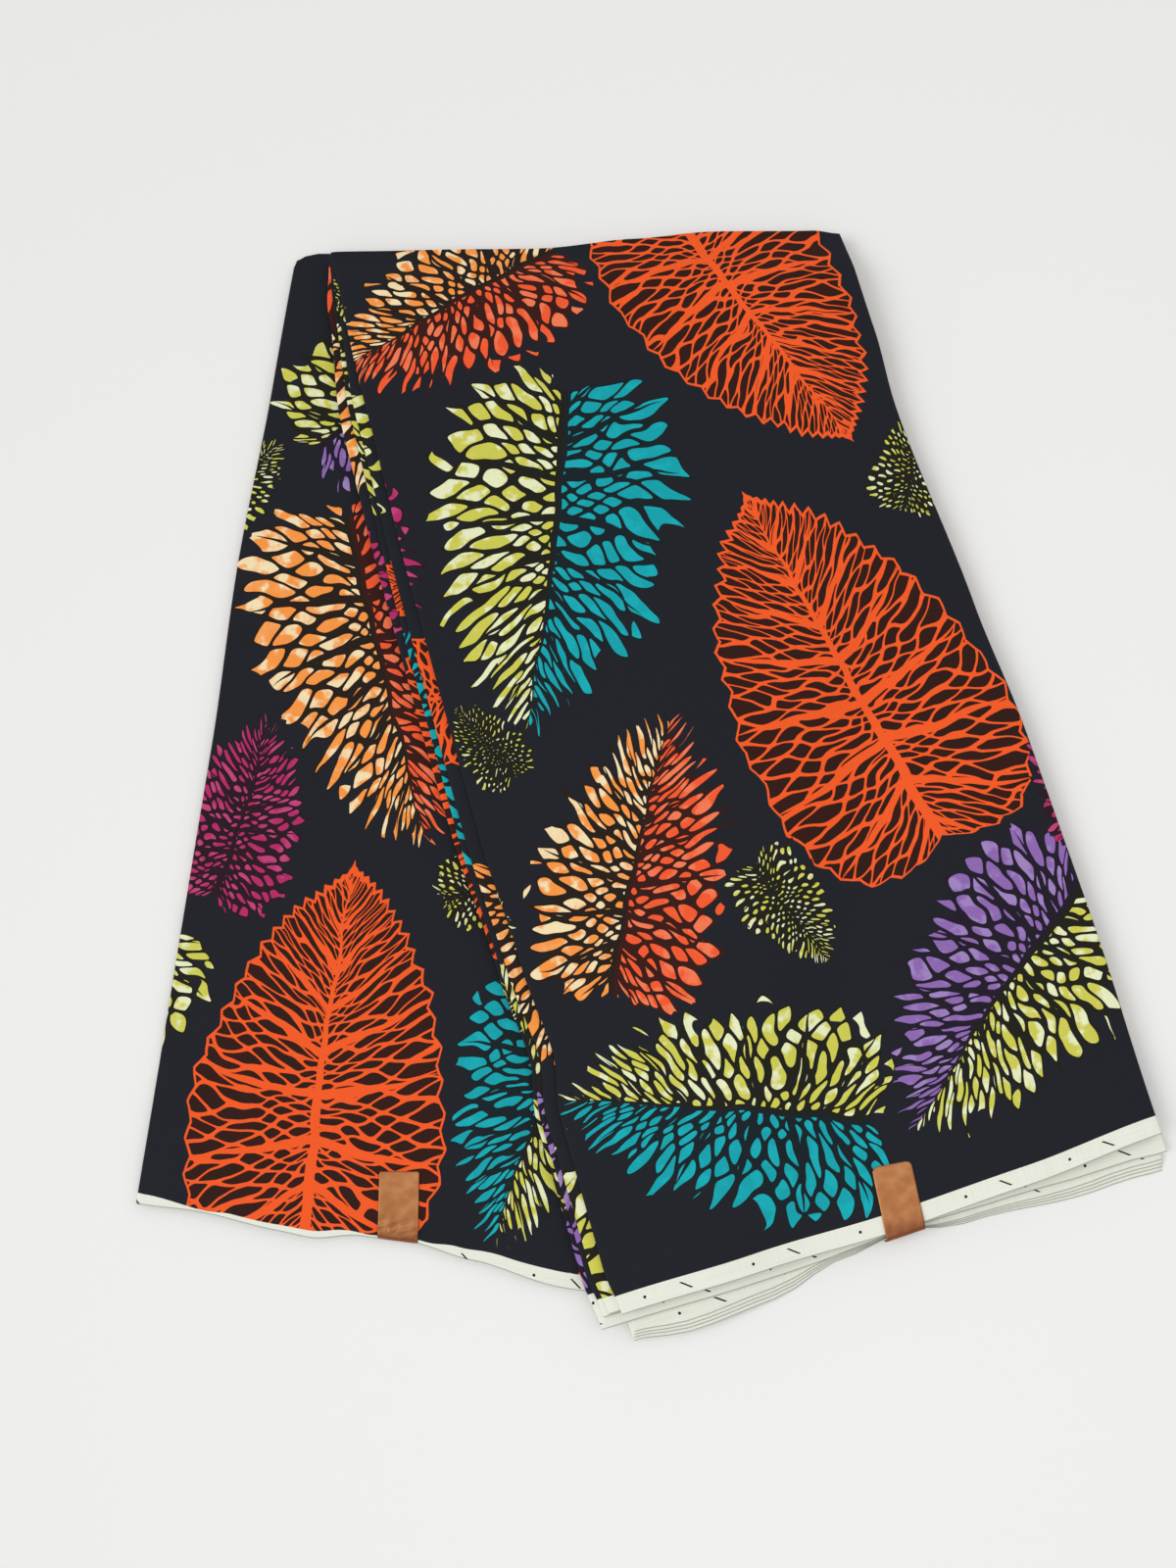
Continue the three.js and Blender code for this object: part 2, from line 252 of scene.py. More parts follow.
# ---- The print -----------------------------------
# One repeat of the leaves. "along" and "up" place a leaf's middle from the hem's left corner of the
# front bundle, "turn" is the way that its tip points, anticlockwise from up, and "inks" are its halves.
REPEAT = (670, 670)
HALF_CLOTH = 620  # from selvage to middle fold
LEAVES = [
    {"along": 226, "up": 324, "long": 198, "turn": 12, "inks": ("net", "net")},
    {"along": 82, "up": 424, "long": 180, "turn": 160, "inks": ("teal", "lime")},
    {"along": 242, "up": 542, "long": 172, "turn": 194, "inks": ("net", "net")},
    {"along": 80, "up": 246, "long": 134, "turn": -26, "inks": ("amber", "ember")},
    {"along": 80, "up": 92, "long": 146, "turn": 70, "inks": ("teal", "lime")},
    {"along": 250, "up": 104, "long": 146, "turn": 126, "inks": ("lime", "purple")},
    {"along": 156, "up": 184, "long": 60, "turn": 205, "inks": ("lime", "lime")},
    {"along": 60, "up": 604, "long": 132, "turn": 104, "inks": ("ember", "amber")},
    {"along": 312, "up": 432, "long": 58, "turn": -30, "inks": ("lime", "lime")},
    {"along": 12, "up": 330, "long": 46, "turn": 24, "inks": ("lime", "lime")},
    {"along": 353, "up": 232, "long": 92, "turn": -8, "inks": ("magenta", "magenta")},
    {"along": -250, "up": 102, "long": 182, "turn": 6, "inks": ("net", "net")},
    {"along": -120, "up": 92, "long": 142, "turn": 166, "inks": ("lime", "teal")},
    {"along": -250, "up": 318, "long": 176, "turn": 202, "inks": ("ember", "amber")},
    {"along": -160, "up": 212, "long": 60, "turn": -62, "inks": ("lime", "lime")},
    {"along": -266, "up": 522, "long": 132, "turn": -38, "inks": ("lime", "purple")},
    {"along": -112, "up": 340, "long": 140, "turn": 18, "inks": ("purple", "lime")},
    {"along": -152, "up": 512, "long": 154, "turn": 172, "inks": ("teal", "lime")},
    {"along": -40, "up": 456, "long": 116, "turn": 188, "inks": ("magenta", "amber")},
    {"along": -40, "up": 226, "long": 58, "turn": 96, "inks": ("lime", "lime")},
    {"along": -262, "up": 616, "long": 60, "turn": 70, "inks": ("lime", "lime")},
    {"along": -70, "up": 636, "long": 104, "turn": 80, "inks": ("net", "net")},
    {"along": -30, "up": 106, "long": 56, "turn": 10, "inks": ("lime", "lime")},
]
# What each ink prints: the cells between a leaf's veins, their mottling, and the veins. The first is
# for the net leaves, where the net of veins is bright and the cells are dark.
INKS = [
    {"name": "net", "cells": 0x2A0E04, "mottled": 0x300A02, "veins": 0xF0581E},
    {"name": "teal", "cells": 0x029EA8, "mottled": 0x08A8B2, "veins": 0x081A20},
    {"name": "lime", "cells": 0xCAC850, "mottled": 0xE4E8BE, "veins": 0x16150A},
    {"name": "purple", "cells": 0x8A64AC, "mottled": 0x9C80BC, "veins": 0x181022},
    {"name": "amber", "cells": 0xF49440, "mottled": 0xF2DDB0, "veins": 0x1E1208},
    {"name": "ember", "cells": 0xEE562A, "mottled": 0xF07850, "veins": 0x340C04},
    {"name": "magenta", "cells": 0xB02464, "mottled": 0xBC4078, "veins": 0x240818},
]
INK_NAMES = [ink["name"] for ink in INKS]
GROUND = 0x151820
SELVAGE = 0xE3E6D8
SELVAGE_EDGE_SHADE = 0x8C8E80  # its densely woven outermost threads, painted darker as the shade in the gaps between plies
MARK = 0x17181C
# The selvage's small printed strokes and dots: how far apart their rows are, how far apart they are in a
# row, and how far each row is moved along from the last. A dot is "at" a share of the way between strokes.
MARKS = {"rows": 10, "apart": 62, "moved": 37}
STROKE = {"half_wide": 0.75, "half_high": 2.2, "slant": 1.3}
DOT = {"radius": 0.85, "at": 0.38}

# A leaf's side veins leave its midrib and turn towards its tip. In lengths of the leaf, a vein that
# leaves at "root" passes a distance x from the midrib at root + (LEAN + FAN * root) * x + CURL * x * x.
LEAN = -0.7
FAN = 3
CURL = 0.4
BASE_BELOW = 0.42  # from a leaf's middle down to its base
BENT = 0.07  # how far at most a leaf's tip is bent to one side
BEND_STEP = 2.4  # radians, times a leaf's number: the sine of that is its share of BENT
SIDE_VEINS = {"apart": 0.13, "wide": 0.014, "drift": 0.01}
MIDRIB = {"wide": 0.015, "ends": 1.05}
CELL_WIDE = 0.047  # across the cells between the finer veins
NET_WIDE = 0.031  # the same in a net leaf
CELLS_ALONG = 6  # from the midrib out to one length of the leaf away
CELL_GROWTH = 0.7  # below 1, cells are longer towards the leaf's edge
# How far a leaf's cells may reach: so many times as far as its side veins, and a bit more.
JAGS = {"share": 1.16, "more": 0.03}
# A net leaf's teeth, how fast they grow with its side veins, and the vein along them in millimetres.
TEETH = {"apart": 0.05, "high": 0.034, "growth": 8, "rim": 1.29}
# The finer veins wander by up to half of "far" cells, over so many cells across and along.
DRIFT = {"far": 2.3, "across": 2.6, "along": 1.3}
# Their half width at the leaf's edge and what it grows by towards the midrib, in cells, on top of a
# thinnest printed line in millimetres, and how much of all that is left in a net leaf.
VEINS = {"edge": 0.03, "growth": 0.045, "thinnest": 0.3, "net": 0.7}
SWAY = {"far": 9, "over": 34}  # of all a leaf's lines, in millimetres
# Steps in the noise between two leaves, a leaf's two halves, and the cotton's two sets of threads.
NOISE_STEPS = {"leaf": 7.3, "half": 9, "threads": 9}
# Small amounts that keep divisions and powers off 0.
LEAST = {"vein": 0.001, "cell": 0.01, "reach": 0.02}
# How far a side vein reaches from the midrib, by where its root is.
VEIN_REACH = {
    "root": (-0.2, -0.1, -0.015, 0.075, 0.19, 0.33, 0.5, 0.68, 0.85, 1, 1.05),
    "reach": (0, 0.15, 0.29, 0.37, 0.385, 0.335, 0.235, 0.125, 0.045, 0, 0),
}
ROOT_SPAN = (VEIN_REACH["root"][0], VEIN_REACH["root"][-1])
# The wax print's mottling: its patches' size, how much it differs from cell to cell, and the levels of
# noise from which it starts and is complete.
MOTTLING = {"patch": 11, "cell": 0.2, "from": 0.47, "to": 0.6}

# ---- The cotton's and the foil's finish ----------
# How far apart the threads are, how long their slubs are, how much those change the tone and the
# roughness, and the shares of the slubs and the weave in the bump.
THREADS = {"apart": 0.7, "slub": 40, "tone": 0.16, "rough": 0.12, "slubs": 0.9, "weave": 0.35}
# Where the dark line of painted shade on the selvage's outermost threads ends, up from the hem, and how
# much of the selvage's own colour it has.
OUTERMOST = {"from": 0.25, "to": 0.7, "least": 0.15}
FOIL = {"dark": 0x9E602F, "light": 0xB67B48, "folded": 0x854920}
FOIL_TONES = (0.3, 0.75)  # how high dents and grain are where it is dark and light: painted shade in the hollows of the bump and painted highlight on its crests
FOIL_FOLD = (-9, 1)  # where it turns to the darker colour of painted shade on the foil's fold, from above the hem to past it
DENTS = {"across": 11, "down": 8}
GRAIN = {"size": 0.5, "tone": 0.15, "high": 0.04, "rough": 0.15}


# ---- Shapes seen from above ----------------------
def smooth(share):
    share = np.clip(share, 0, 1)
    return share * share * (3 - 2 * share)


def eased(table, column, share):
    """The value of a table's column at shares of the way along, eased from each row to the next."""
    at = np.array(table["at"], float)
    value = np.array(table[column], float)
    row = np.clip(np.searchsorted(at, share, side="right") - 1, 0, len(at) - 2)
    part = smooth((share - at[row]) / (at[row + 1] - at[row]))
    return value[row] + part * (value[row + 1] - value[row])


def outwards(bundle, name):
    """The direction outwards from the line between an edge's corners."""
    start, end, side = EDGES[name]
    way = np.subtract(bundle[end], bundle[start])
    return side * np.array((way[1], -way[0])) / np.hypot(*way)


def edge_points(bundle, name, share):
    """Points of a bundle's edge, at shares of the way along it."""
    start, end, _ = EDGES[name]
    share = np.array(share, float)
    straight = bundle[start] + share[..., None] * np.subtract(bundle[end], bundle[start])
    return straight + eased(bundle[name], "bow", share)[..., None] * outwards(bundle, name)


def bundle_points(bundle, across, up):
    """Points of a bundle, filled in between its four edges."""
    hem, top = (edge_points(bundle, name, across) for name in ("hem", "top"))
    left, right = (edge_points(bundle, name, up) for name in ("left", "right"))
    corners = [bundle[name] for name in ("hem_left", "hem_right", "top_left", "top_right")]
    hem_left, hem_right, top_left, top_right = (np.array(corner, float) for corner in corners)
    s, t = across[..., None], up[..., None]
    low = hem_left * (1 - s) + hem_right * s
    high = top_left * (1 - s) + top_right * s
    return left * (1 - s) + right * s + hem * (1 - t) + top * t - (low * (1 - t) + high * t)


def layer_points(bundle, layer, across, up, slip):
    """A layer's own points: the bundle's, with each edge moved out by as much as it reaches past."""
    near = {
        "hem": np.clip(1 - up / REACH_HEM, 0, 1),
        "top": np.clip(1 - (1 - up) / REACH_TOP, 0, 1),
        "left": np.clip(1 - across / REACH_SIDE, 0, 1),
        "right": np.clip(1 - (1 - across) / REACH_SIDE, 0, 1),
    }
    aside = slip * SIDE_SLIP
    past = {
        "hem": eased(layer["hem"], "past", across),
        "top": layer["top"] + aside,
        "left": eased(layer["left"], "past", up) + aside,
        "right": layer["right"] - aside,
    }
    if slip:
        past["hem"] = past["hem"] + slip * eased(layer["hem"], "slip", across)
    points = bundle_points(bundle, across, up)
    for name in EDGES:
        points = points + (near[name] * past[name])[..., None] * outwards(bundle, name)
    return points


# ---- Heights -------------------------------------
def stack_height(layers):
    return sum(layer["thick"] + CLEARANCE for layer in layers)


LEFT_HEIGHT = stack_height(LEFT_LAYERS)


def pressed(points):
    """How thick a bundle is at some points, as a share of its full thickness."""
    (x0, y0), (x1, y1) = FRONT["top_left"], FRONT["top_right"]
    fold = y0 + (points[..., 0] - x0) / (x1 - x0) * (y1 - y0)
    return PRESSED_SHARE + (1 - PRESSED_SHARE) * smooth((fold - points[..., 1]) / PRESSED_REACH)


def surface(points):
    """The height that the left bundle rests on."""
    return np.zeros(points.shape[:-1])


def front_rest(points):
    """The height that the front bundle rests on: the left bundle's top, then down to the surface."""
    (x0, y0), (x1, y1) = LEFT["hem_right"], LEFT["top_right"]
    x, y = points[..., 0], points[..., 1]
    right_of = ((x - x0) * (y1 - y0) - (y - y0) * (x1 - x0)) / math.hypot(x1 - x0, y1 - y0)
    return LEFT_HEIGHT * pressed(points) * (1 - smooth((right_of - RAMP_START) / RAMP_REACH))


def relief(points):
    """How far the creases and the gentle waves lift or lower a top panel."""
    height = np.zeros(points.shape[:-1])
    for wave in WAVES:
        towards = math.radians(wave["towards"])
        distance = points @ np.array((math.cos(towards), math.sin(towards)))
        height += wave["high"] * np.sin(2 * math.pi * distance / wave["long"])
    for crease in CREASES:
        start, end = np.array(crease["from"], float), np.array(crease["to"], float)
        way = end - start
        length = np.hypot(*way)
        share = (points - start) @ way / length**2
        off = np.abs((points - start) @ np.array((way[1], -way[0]))) / length
        ends = smooth(2 * share) * smooth(2 * (1 - share))
        height += crease["high"] * ends * np.exp(-((off / crease["wide"]) ** 2))
    return height


# ---- The print's places --------------------------
def on_cloth(bundle, layer, points, upper):
    """Where points seen from above lie on the flat cloth, along its selvage and up from it."""
    turn = math.radians(bundle["turn"])
    from_corner = points - np.array(bundle["hem_left"], float)
    along = from_corner @ np.array((math.cos(turn), math.sin(turn)))
    up = from_corner @ np.array((-math.sin(turn), math.cos(turn)))
    if not upper:
        up = 2 * HALF_CLOTH - up
    return np.stack((along + layer["shift"][0], up + layer["shift"][1]), -1)


def leaf_instances(low, high):
    """Each leaf of each repeat that can reach a stretch of cloth: its row's number and its middle."""
    found = []
    for number, leaf in enumerate(LEAVES):
        middle = np.array((leaf["along"], leaf["up"]), float)
        first = np.floor((low - middle - leaf["long"]) / REPEAT).astype(int)
        last = np.ceil((high - middle + leaf["long"]) / REPEAT).astype(int)
        for column in range(first[0], last[0] + 1):
            for row in range(first[1], last[1] + 1):
                found.append((number, middle + np.array((column, row)) * REPEAT))
    return found


def vein_root(off, up):
    """Where the side vein that passes a point leaves the midrib. Arrays and shader wires both work."""
    return (up - off * LEAN - off * off * CURL) / (off * FAN + 1)


def leaf_frame(points, number, middle):
    """Points on the cloth as seen by one leaf, in its lengths: to the right of its midrib, which bends
    a little, and up from its base."""
    turn = math.radians(LEAVES[number]["turn"])
    right = np.array((math.cos(turn), math.sin(turn)))
    tip = np.array((-math.sin(turn), math.cos(turn)))
    from_base = (points - middle) / LEAVES[number]["long"] + BASE_BELOW * tip
    up = from_base @ tip
    bend = BENT * math.sin(BEND_STEP * number)
    return from_base @ right - bend * up * up, up


def past_outline(across, up):
    """How far points are outside a leaf's outline, in its lengths."""
    off = np.abs(across)
    root = vein_root(off, up)
    reach = np.interp(root, VEIN_REACH["root"], VEIN_REACH["reach"])
    first, last = ROOT_SPAN
    return off - reach + np.maximum(first - root, 0) + np.maximum(root - last, 0)


def leaf_corners(corners):
    """For faces' corners on the cloth, each in the frame of the leaf nearest to its face: how far it is
    across the leaf and up it, with the leaf's length, and the leaf's two inks and its number."""
    centres = corners.mean(1)
    flat = corners.reshape(-1, 2)
    nearest = np.full(len(centres), np.inf)
    place = np.zeros(corners.shape[:2] + (3,))
    make = np.zeros_like(place)
    for number, middle in leaf_instances(flat.min(0), flat.max(0)):
        length = LEAVES[number]["long"]
        away = past_outline(*leaf_frame(centres, number, middle)) * length
        nearer = away < nearest
        nearest[nearer] = away[nearer]
        across, up = leaf_frame(corners[nearer], number, middle)
        place[nearer] = np.stack((across * length, up * length, np.full(up.shape, length)), -1)
        inks = [INK_NAMES.index(ink) for ink in LEAVES[number]["inks"]]
        make[nearer] = (*inks, number)
    return place, make


# ---- Meshes --------------------------------------
def add_object(name, data):
    thing = bpy.data.objects.new(name, data)
    bpy.context.scene.collection.objects.link(thing)
    return thing


class Shell:
    """Patches of quads that are welded into one closed mesh. A patch is a grid of points, with where
    each is on the cloth, how far it is up from the hem and past the unprinted band, and where it is in
    the flat layout."""

    def __init__(self):
        self.points, self.cloth, self.up, self.flat, self.faces = [], [], [], [], []
        self.count = 0

    def add(self, points, cloth, up, flat):
        rows, columns = points.shape[:2]
        index = self.count + np.arange(rows * columns).reshape(rows, columns)
        quads = (index[:-1, :-1], index[:-1, 1:], index[1:, 1:], index[1:, :-1])
        self.faces.append(np.stack([quad.ravel() for quad in quads], -1))
        self.points.append(points.reshape(-1, 3))
        self.cloth.append(cloth.reshape(-1, 2))
        self.up.append(up.reshape(-1, 2))
        self.flat.append(flat.reshape(-1, 2))
        self.count += rows * columns

    def make(self, name):
        points, faces = np.concatenate(self.points) * MM, np.concatenate(self.faces)
        corners = faces.ravel()
        cloth = np.concatenate(self.cloth)[corners]
        place, make = leaf_corners(cloth.reshape(-1, 4, 2))
        mesh = bpy.data.meshes.new(name)
        mesh.from_pydata(points.tolist(), [], faces.tolist())
        mesh.uv_layers.new(name="OFBake").uv.foreach_set(
            "vector", np.concatenate(self.flat)[corners].astype(np.float32).ravel()
        )
        mesh.uv_layers.new(name="cloth").uv.foreach_set("vector", cloth.astype(np.float32).ravel())
        up = np.pad(np.concatenate(self.up)[corners], ((0, 0), (0, 1)))
        for label, values in (("leaf_place", place), ("leaf_make", make), ("hem_place", up)):
            layer = mesh.attributes.new(label, "FLOAT_VECTOR", "CORNER")
            layer.data.foreach_set("vector", values.astype(np.float32).ravel())
        weld(mesh)
        return add_object(name, mesh)


def weld(mesh):
    """Joins a mesh's patches and turns its faces outwards."""
    work = bmesh.new()
    work.from_mesh(mesh)
    bmesh.ops.remove_doubles(work, verts=work.verts, dist=WELDED * MM)
    bmesh.ops.recalc_face_normals(work, faces=work.faces)
    work.to_mesh(mesh)
    work.free()
    mesh.shade_smooth()
    mesh.set_sharp_from_angle(angle=math.radians(SHARP))


def spaced(spans):
    """Shares from 0 to 1, in spans of a start, an end and a count of cells."""
    parts = [np.linspace(start, end, count, endpoint=False) for start, end, count in spans]
    return np.concatenate(parts + [np.ones(1)])


def around(grid):
    """A grid's left, top and right edges as one path, from the hem's left corner to its right one."""
    return np.concatenate((grid[:-1, 0], grid[-1, :-1], grid[::-1, -1]))


def bulges(path):
    """The way outwards at each point of a path that runs clockwise."""
    way = np.gradient(path, axis=0)
    out = np.stack((-way[:, 1], way[:, 0]), -1)
    return out / np.linalg.norm(out, axis=1, keepdims=True)


def fold_shell(shell, bundle, layer, fold, heights):
    """One fold of a layer: two plies joined round the sides and the middle fold, with a slit between
    them at the cut hem. heights gives the fold's lower and upper height at some points."""
    across, up = np.meshgrid(spaced(layer["across"]), spaced(layer["up"]))
    points = layer_points(bundle, layer, across, up, layer["slips"][fold])
    steps = np.linalg.norm(np.diff(points, axis=0), axis=-1)
    from_hem = np.concatenate((np.zeros((1, points.shape[1])), np.cumsum(steps, axis=0)))
    past_selvage = from_hem - eased(layer["selvage"], "wide", across)
    places = np.stack((from_hem, past_selvage), -1)
    low, high = heights(points)
    folds = len(layer["slips"])
    radius = layer["thick"] / folds / 2

    def put(xy, level, low, high, seen, places, upper):
        """Adds a patch at shares of the height, unrolled to where it is seen on its ply."""
        z = low + level * (high - low)
        cloth = on_cloth(bundle, layer, seen, upper)
        flat = flat_place(seen, 2 * fold + upper, 2 * folds)
        shell.add(np.concatenate((xy, z[..., None]), -1), cloth, places, flat)

    for upper in (0, 1):
        level = np.full(across.shape, float(upper))
        put(points, level, low, high, points, places, upper)

    path, path_low, path_high, path_places = (around(grid) for grid in (points, low, high, places))
    out = bulges(path)
    middle = len(LEVELS) // 2
    for upper, levels in ((0, LEVELS[: middle + 1]), (1, LEVELS[middle:])):
        level = np.array(levels)[:, None] + np.zeros(len(path))
        angle = np.arcsin(2 * level - 1)
        bulge = radius * np.cos(angle)
        arc = radius * (math.pi / 2 - np.abs(angle))
        xy = path + bulge[..., None] * out
        seen = path + arc[..., None] * out
        put(xy, level, path_low, path_high, seen, path_places + 0 * level[..., None], upper)
        ends(put, levels, upper, path, out, path_low, path_high, radius)
        hem(put, levels, upper, points, low, high)


def ply_levels(levels, upper):
    """The levels of a ply's own edge, and those of its half of the slit."""
    ply = PLY_LEVELS[upper]
    above = [level for level in levels if level >= ply]
    below = [level for level in levels if level <= ply]
    return (above, below) if upper else (below, above)


def hem(put, levels, upper, points, low, high):
    """Half of the cut hem: the ply's edge, its inner face back to the slit's end, and the slit's end."""
    inwards = points[1] - points[0]
    inwards = inwards / np.linalg.norm(inwards, axis=-1, keepdims=True)
    edge_levels, slit_levels = ply_levels(levels, upper)
    rows = [(0, level) for level in sorted(edge_levels, reverse=bool(upper))]
    rows += [(SLIT_DEPTH, level) for level in sorted(slit_levels, reverse=bool(upper))]
    depth, level = (np.array(column)[:, None] + np.zeros(points.shape[1]) for column in zip(*rows))
    run = np.cumsum(np.abs(np.diff(depth, axis=0, prepend=0)) + HEM_RUN, axis=0)
    seen = points[0] - run[..., None] * inwards
    # At 0 from the hem, the cut edge and the slit take the selvage's dark line of painted shade.
    places = np.stack((0 * run, -BARE - run), -1)
    put(points[0] + depth[..., None] * inwards, level, low[0], high[0], seen, places, upper)


def ends(put, levels, upper, path, out, low, high, radius):
    """Closes a fold's two ends at the hem: the end of its rounded edge, and the slit's side."""
    for end, beside in ((0, 1), (-1, -2)):
        inwards = path[beside] - path[end]
        inwards = inwards / np.hypot(*inwards)
        level = np.array(levels)[:, None] + np.zeros(2)
        bulge = radius * np.cos(np.arcsin(2 * level - 1)) * np.array((1, 0))
        seen = path[end] - END_RUN * level[..., None] * inwards
        xy = path[end] + bulge[..., None] * out[end]
        # At 0 from the hem, these ends take the selvage's dark line of painted shade.
        places = np.stack((0 * level, -BARE + 0 * level), -1)
        put(xy, level, low[end], high[end], seen, places, upper)
        level = np.array(ply_levels(levels, upper)[1])[:, None] + np.zeros(2)
        depth = SLIT_DEPTH * np.array((0, 1)) + 0 * level
        xy = path[end] + depth[..., None] * inwards
        put(xy, level, low[end], high[end], seen[: len(level)], places[: len(level)], upper)


def flat_place(seen, cell, cells):
    """Where a point of one ply goes in the flat layout of a piece's plies, side by side."""
    share = seen / FLAT_SIZE + 0.5
    return np.stack(((cell + share[..., 0]) / cells, share[..., 1]), -1)


def fold_heights(rest, start, thick, creased):
    """A function that gives a fold's lower and upper height at some points. Where the bundle isn't
    pressed, the fold starts so far above what the bundle rests on, and is so thick."""

    def heights(points):
        low = rest(points) + start * pressed(points)
        high = low + thick * pressed(points)
        return low, high + (relief(points) if creased else 0)

    return heights


def build_bundle(bundle, layers, rest, cotton):
    """One bundle's layers, each resting on the one before. rest gives the height that the lowest rests at."""
    below = 0
    for layer in layers:
        shell = Shell()
        count = len(layer["slips"])
        for fold in range(count):
            start = below + layer["thick"] * fold / count
            thick = layer["thick"] / count - FOLD_GAP * (fold < count - 1)
            heights = fold_heights(rest, start, thick, layer["creased"])
            fold_shell(shell, bundle, layer, fold, heights)
        below += layer["thick"] + CLEARANCE
        finish_cloth(shell.make(layer["name"] + "_cloth"), layer, cotton)


def finish_cloth(piece, layer, cotton):
    piece.data.materials.append(cotton)
    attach(piece, "root")
    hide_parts(layer["name"])


# ---- Shader arithmetic ---------------------------
def plug(tree, socket, value):
    """Gives a socket a number, a vector or colour, or the end of a wire."""
    if isinstance(value, Wire):
        tree.links.new(value.socket, socket)
    else:
        socket.default_value = value


class Wire:
    """A value in a shader, which arithmetic adds nodes to."""

    def __init__(self, tree, socket):
        self.tree = tree
        self.socket = socket

    def math(self, operation, *others):
        node = self.tree.nodes.new("ShaderNodeMath")
        node.operation = operation
        for socket, value in zip(node.inputs, (self, *others)):
            plug(self.tree, socket, value)
        return Wire(self.tree, node.outputs[0])

    def __add__(self, other):
        return self.math("ADD", other)

    def __sub__(self, other):
        return self.math("SUBTRACT", other)

    def __mul__(self, other):
        return self.math("MULTIPLY", other)

    def __truediv__(self, other):
        return self.math("DIVIDE", other)

    def __lt__(self, other):
        return self.math("LESS_THAN", other)

    def __gt__(self, other):
        return self.math("GREATER_THAN", other)

    def either(self, other):
        return self.math("MAXIMUM", other)

    def both(self, other):
        return self.math("MINIMUM", other)

    def size(self):
        return self.math("ABSOLUTE")

    def wave(self, length):
        """A sine along this value, in lengths of its wave."""
        return (self * (2 * math.pi / length)).math("SINE")

    def from_line(self, spacing):
        """The distance to the nearest of a row of lines that far apart."""
        return ((self / spacing + 0.5).math("FRACT") - 0.5).size() * spacing

    def rises(self, low, high):
        """0 below low, 1 above high, eased between."""
        node = self.tree.nodes.new("ShaderNodeMapRange")
        node.interpolation_type = "SMOOTHSTEP"
        for name, value in (("Value", self), ("From Min", low), ("From Max", high)):
            plug(self.tree, node.inputs[name], value)
        return Wire(self.tree, node.outputs["Result"])


def node_of(tree, kind, outputs, settings=(), **inputs):
    """Adds a node, with its settings and inputs, and returns wires from the outputs named."""
    node = tree.nodes.new(kind)
    for name, value in dict(settings).items():
        setattr(node, name, value)
    for name, value in inputs.items():
        plug(tree, node.inputs[name.replace("_", " ")], value)
    wires = [Wire(tree, node.outputs[name]) for name in outputs]
    return wires if len(wires) > 1 else wires[0]


def attribute(tree, name):
    return node_of(tree, "ShaderNodeAttribute", ["Vector"], {"attribute_name": name})


def split(vector):
    return node_of(vector.tree, "ShaderNodeSeparateXYZ", ["X", "Y", "Z"], Vector=vector)


def join(x, y, z):
    tree = x.tree
    return node_of(tree, "ShaderNodeCombineXYZ", ["Vector"], X=x, Y=y, Z=z)


def noise(vector, detail, output="Fac"):
    return node_of(vector.tree, "ShaderNodeTexNoise", [output], Vector=vector, Scale=1.0, Detail=detail)


def mix(share, first, second):
    """Colour that goes from the first to the second as share goes from 0 to 1."""
    tree = share.tree
    node = tree.nodes.new("ShaderNodeMix")
    node.data_type = "RGBA"
    # The node's sockets for numbers and vectors have the same names, so its colours go by number.
    for index, value in ((0, share), (6, first), (7, second)):
        plug(tree, node.inputs[index], value)
    return Wire(tree, node.outputs[2])


def colour(code):
    """A colour written as 0xRRGGBB, in the linear values that shaders take."""
    parts = [(code >> shift & 255) / 255 for shift in (16, 8, 0)]
    return (*(((part + 0.055) / 1.055) ** 2.4 if part > 0.04 else part / 12.92 for part in parts), 1)


def ink_colour(ink, column):
    """The colour in one column of the inks' table, by an ink's number."""
    node = ink.tree.nodes.new("ShaderNodeValToRGB")
    ramp = node.color_ramp
    ramp.interpolation = "CONSTANT"
    for row, entry in enumerate(INKS):
        stop = ramp.elements[row] if row < 2 else ramp.elements.new(row / len(INKS))
        stop.position = row / len(INKS)
        stop.color = colour(entry[column])
    plug(ink.tree, node.inputs[0], (ink + 0.5) / len(INKS))
    return Wire(ink.tree, node.outputs["Color"])


def reach_at(root):
    """How far the side vein from a root reaches, in lengths of the leaf."""
    node = root.tree.nodes.new("ShaderNodeFloatCurve")
    first, last = ROOT_SPAN
    curve = node.mapping.curves[0]
    places = [
        ((start - first) / (last - first), reach)
        for start, reach in zip(VEIN_REACH["root"], VEIN_REACH["reach"])
    ]
    curve.points[0].location = places[0]
    for place in places[1:-1]:
        curve.points.new(*place)
    curve.points[-1].location = places[-1]
    node.mapping.update()
    plug(root.tree, node.inputs["Value"], ((root - first) / (last - first)).both(1).either(0))
    return Wire(root.tree, node.outputs["Value"])


def new_material(name):
    material = bpy.data.materials.new(name)
    material.use_nodes = True
    return material, material.node_tree, material.node_tree.nodes["Principled BSDF"]


